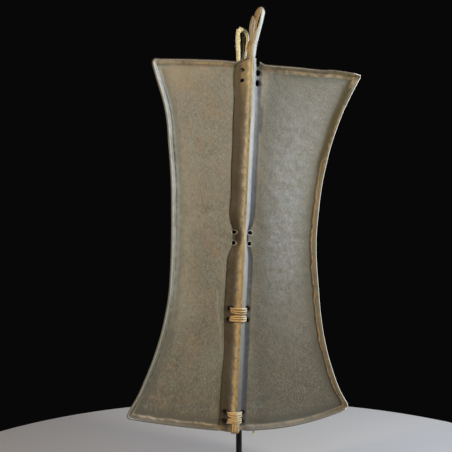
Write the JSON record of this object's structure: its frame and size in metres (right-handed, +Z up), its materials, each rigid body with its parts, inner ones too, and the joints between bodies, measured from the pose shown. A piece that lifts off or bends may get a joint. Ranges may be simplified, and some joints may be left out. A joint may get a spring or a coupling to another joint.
{
  "type": "hide shield",
  "caption": "Waisted shield of moulded hide with a folded rim, pinched ridge over a bowed stave grip, thong lashings and hanging loop, on a rod stand.",
  "frame": {"origin": "centre of the stand base's underside", "axes": "+Z up along the rod, +Y from the shield's face towards its back, +X to the shield's right as its face is looked at"},
  "size_m": [0.5065, 0.19, 0.9894],
  "materials": {
    "rawhide": "matt, dried and brushed, worn lighter on the folds",
    "stave_wood": "peeled stick, dry and unpolished",
    "rawhide_thong": "pale dried thong, matt",
    "black_painted_steel": "satin black"
  },
  "bodies": {
    "root": {"hide": "rawhide", "stave": "stave_wood", "lashing_grip": "rawhide_thong", "lashing_foot": "rawhide_thong", "hanging_loop": "rawhide_thong", "stand_rod": "black_painted_steel", "stand_base": "black_painted_steel"}
  },
  "joints": []
}
